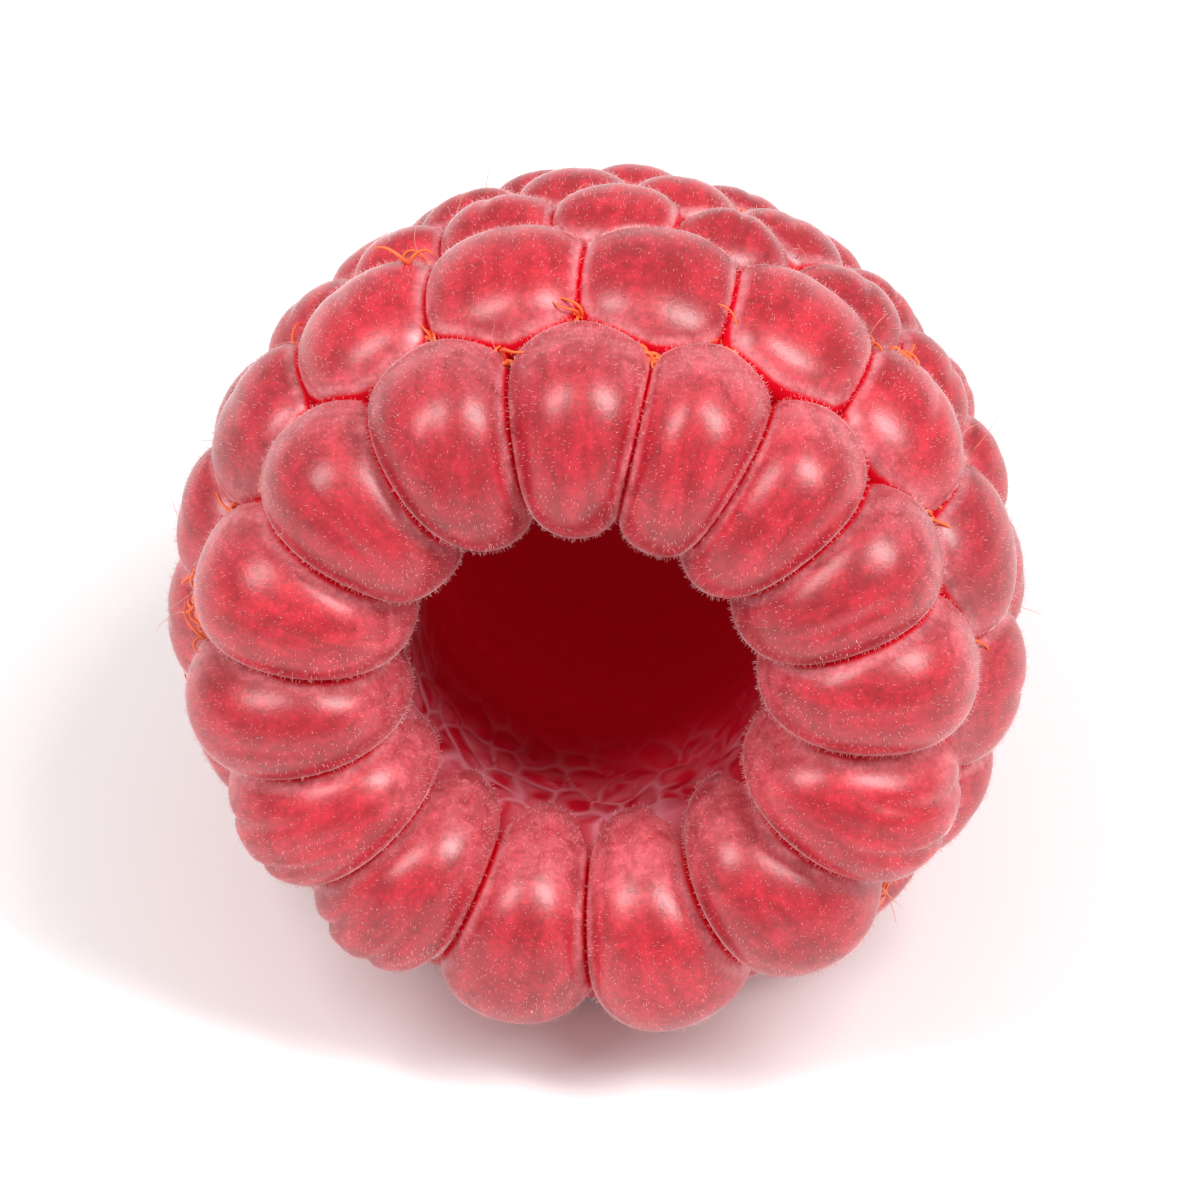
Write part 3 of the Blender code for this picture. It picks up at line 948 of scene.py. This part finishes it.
def new_material(name):
    """An empty node material and its tree."""
    material = bpy.data.materials.new(name)
    material.use_nodes = True
    material.node_tree.nodes.clear()
    return material, material.node_tree


def add_surface(tree, inputs):
    """The shader with these inputs, joined to the material's output."""
    shader = add_node(tree, "ShaderNodeBsdfPrincipled", inputs)
    add_node(tree, "ShaderNodeOutputMaterial", {"Surface": shader.outputs["BSDF"]})


# %% [markdown]
# ## The drupelets' skin
#
# A drupelet is a thin clear skin over red juice. The eye gets a deep red with clouds and long veins in
# it, a waxy highlight, a bright red glow in the creases, which is painted into the colour, and a pale
# look along the contacts and on the flanks, partly the down's own colour and partly painted sheen. One
# material does all that, with three attributes that say where a point lies: nearness to a contact,
# local coordinates on its drupelet, and the drupelet's own shade.

# %% The skin
def drupelet_skin():
    """Raspberry skin: cloudy red juice in a clear skin, with down, painted sheen and a painted crease
    glow.
    """
    material, tree = new_material("raspberry_skin")
    place = place_on_object(tree)
    local = attribute(tree, "local", "Vector")
    shade = attribute(tree, "shade")
    nearness = attribute(tree, "nearness")

    # Clouds in the juice, and veins that run the long way of each drupelet, different on every one.
    clouds = noise(tree, place, per_metre(0.55), detail=3.0, roughness=0.55, distortion=0.5)
    stretch = {0: local, 1: (3.2, 0.8, 0.8)}
    stretched = add_node(tree, "ShaderNodeVectorMath", stretch, operation="MULTIPLY")
    own_place = add_node(tree, "ShaderNodeCombineXYZ", {"X": shade, "Y": shade, "Z": shade})
    shift = {0: own_place.outputs["Vector"], 1: (40.0, 40.0, 40.0), 2: stretched.outputs["Vector"]}
    shifted = add_node(tree, "ShaderNodeVectorMath", shift, operation="MULTIPLY_ADD")
    veins = noise(tree, shifted.outputs["Vector"], 1.6, detail=3.0, distortion=0.3)
    pattern = joined(tree, "ADD", clouds, veins)
    juice = mixed(tree, mapped(tree, pattern, source=(0.8, 1.2)), "#9c0418", "#c01e30")

    # A pale line is painted along the edge of each contact round a drupelet, and a paler tint on the
    # flanks of a dome than on its top. This is partly the down, matted at the contacts and thicker on
    # the flanks than on the worn top, and partly painted sheen where the skin turns away from the eye.
    beside = mapped(tree, nearness, source=(0.72, 0.9), target=(0.0, 0.62), curve="SMOOTHSTEP")
    height = add_node(tree, "ShaderNodeSeparateXYZ", {"Vector": local}).outputs["Z"]
    flank = mapped(tree, height, source=(0.85, 0.2), target=(0.0, 0.33), curve="SMOOTHSTEP")
    patchy = mapped(tree, clouds, source=(0.35, 0.65), target=(0.5, 1.15))
    frost_and_sheen = joined(tree, "MULTIPLY", joined(tree, "MAXIMUM", beside, flank), patchy)
    # The pale mix below is partly the down's own colour and partly painted sheen.
    frosted_and_sheened = mixed(tree, frost_and_sheen, juice, "#e8989f")

    # Fine flecks, and no two drupelets quite equally ripe.
    speckle = noise(tree, place, per_metre(0.12), roughness=0.6)
    fleck = mapped(tree, speckle, source=(0.3, 0.7), target=(0.8, 1.2))
    ripeness = mapped(tree, shade, target=(0.9, 1.1))
    flecked = brightened(tree, frosted_and_sheened, joined(tree, "MULTIPLY", fleck, ripeness))

    # The creases get a bright saturated red, a painted glow of light that passes through the flesh.
    # No down grows in them, so they have no sheen, and so deep down they hardly shine.
    crease = mapped(tree, nearness, source=(0.88, 0.945), curve="SMOOTHSTEP")
    relief = {"Height": speckle, "Strength": 0.3, "Distance": 0.02 * MM}
    bump = add_node(tree, "ShaderNodeBump", relief)
    # The base colour carries the painted sheen on the flanks and the painted red glow in the creases.
    add_surface(tree, {
        "Base Color": mixed(tree, crease, flecked, "#dc0e26"),
        "Normal": bump.outputs["Normal"],
        "Roughness": 0.35,
        "IOR": 1.45,
        "Specular IOR Level": mapped(tree, crease, target=(0.85, 0.15)),
        "Subsurface Weight": 0.2,
        "Subsurface Radius": (1.0, 0.15, 0.12),
        "Subsurface Scale": 1.0 * MM,
        "Sheen Weight": mapped(tree, crease, target=(1.0, 0.0)),
        "Sheen Roughness": 0.18,
        "Sheen Tint": linear("#fff0f0"),
    })
    return material


skin = drupelet_skin()
ring_piece.data.materials.append(skin)
row_piece.data.materials.append(skin)
print("nodes in the skin:", len(skin.node_tree.nodes))

# %% [markdown]
# ## The hollow's lining
#
# Inside, the fruit has no skin: this is the wet flesh that was pulled off the core. The eye gets a
# flat saturated red with hardly any gloss, painted darker at the lip and brighter deep inside as light
# against the hollow's shade, and pale torn fibres across it. They could be threads of their own, but
# they lie so flat that colour and the wall's relief are enough.

# %% The lining
def hollow_lining():
    """Wet red flesh with pale torn fibres, painted brighter deep inside than at the lip against the
    hollow's shade.
    """
    material, tree = new_material("raspberry_hollow_lining")
    # Painted light: the red brightens from the lip to deep inside, against the hollow's shade.
    flesh = mixed(tree, attribute(tree, "inside"), "#a0081c", "#dc1030")
    add_surface(tree, {
        "Base Color": mixed(tree, attribute(tree, "web"), flesh, "#c06c78"),
        "Roughness": 0.55,
        "IOR": 1.35,
        "Specular IOR Level": 0.2,
    })
    return material


flesh_piece.data.materials.append(hollow_lining())

# %% [markdown]
# ## The threads
#
# The styles dry to orange brown and the long hairs are straw-coloured. The down is nearly white, with
# a pink tint that paints the skin's red light shining through it. They are dry plant fibre, dull and
# too thin to show a pattern, so each has one colour that only wavers a little from place to place.

# %% The styles, the hairs and the down
def plain_fibre(name, code, roughness):
    """A dry plant fibre of one colour, a little darker in places."""
    material, tree = new_material(name)
    strength = mapped(tree, noise(tree, place_on_object(tree), per_metre(0.8)), target=(0.6, 1.4))
    colour = brightened(tree, linear(code)[:3], strength)
    add_surface(tree, {"Base Color": colour, "Roughness": roughness, "IOR": 1.45})
    return material


styles_piece.data.materials.append(plain_fibre("dried_style", "#f0703a", 0.5))
hair_piece.data.materials.append(plain_fibre("berry_hair", "#e8a08c", 0.5))
# The down's pink tint is painted light from the red skin behind it.
down = plain_fibre("berry_down", "#ffc4c8", 0.6)
for piece in down_pieces:
    piece.data.materials.append(down)

# %% [markdown]
# ## Floor and light
#
# The berry lies on a plain white surface under two large soft boxes, one to the left and one to the
# right, which each leave a soft light patch on the drupelets that face them, in a bright white room.

# %% The floor
FLOOR_SIZE = 900 * MM
FLOOR_DROP = 0.01 * MM


def pale_floor():
    """White paper: bright, even and dull."""
    material, tree = new_material("white_paper")
    add_surface(tree, {"Base Color": linear("#f6f4f4"), "Roughness": 0.7})
    return material


half = FLOOR_SIZE / 2
square = ((-half, -half), (half, -half), (half, half), (-half, half))
floor_mesh = bpy.data.meshes.new("floor")
floor_mesh.from_pydata([(x, y, -FLOOR_DROP) for x, y in square], [], [(0, 1, 2, 3)])
floor = bpy.data.objects.new("floor", floor_mesh)
floor.data.materials.append(pale_floor())
bpy.context.scene.collection.objects.link(floor)

# %% The lights
BOX_DISTANCE = 500 * MM


def soft_box(name, azimuth, elevation, width, height, watts):
    """A rectangular light that faces the berry, with its angles in degrees and sides in mm."""
    data = bpy.data.lights.new(name, "AREA")
    data.shape = "RECTANGLE"
    data.size = width * MM
    data.size_y = height * MM
    data.energy = watts
    light = bpy.data.objects.new(name, data)
    light.location = middle + BOX_DISTANCE * direction(math.radians(azimuth), math.radians(elevation))
    look_at(light, middle)
    bpy.context.scene.collection.objects.link(light)


soft_box("soft_box_left", azimuth=-62.0, elevation=57.0, width=110, height=300, watts=1.3)
soft_box("soft_box_right", azimuth=76.0, elevation=57.0, width=110, height=300, watts=2.0)
world = bpy.data.worlds.new("white_room")
world.use_nodes = True
background = world.node_tree.nodes["Background"]
background.inputs["Color"].default_value = linear("#ffffff")
background.inputs["Strength"].default_value = 0.59
bpy.context.scene.world = world
bpy.context.scene.view_settings.view_transform = "Standard"
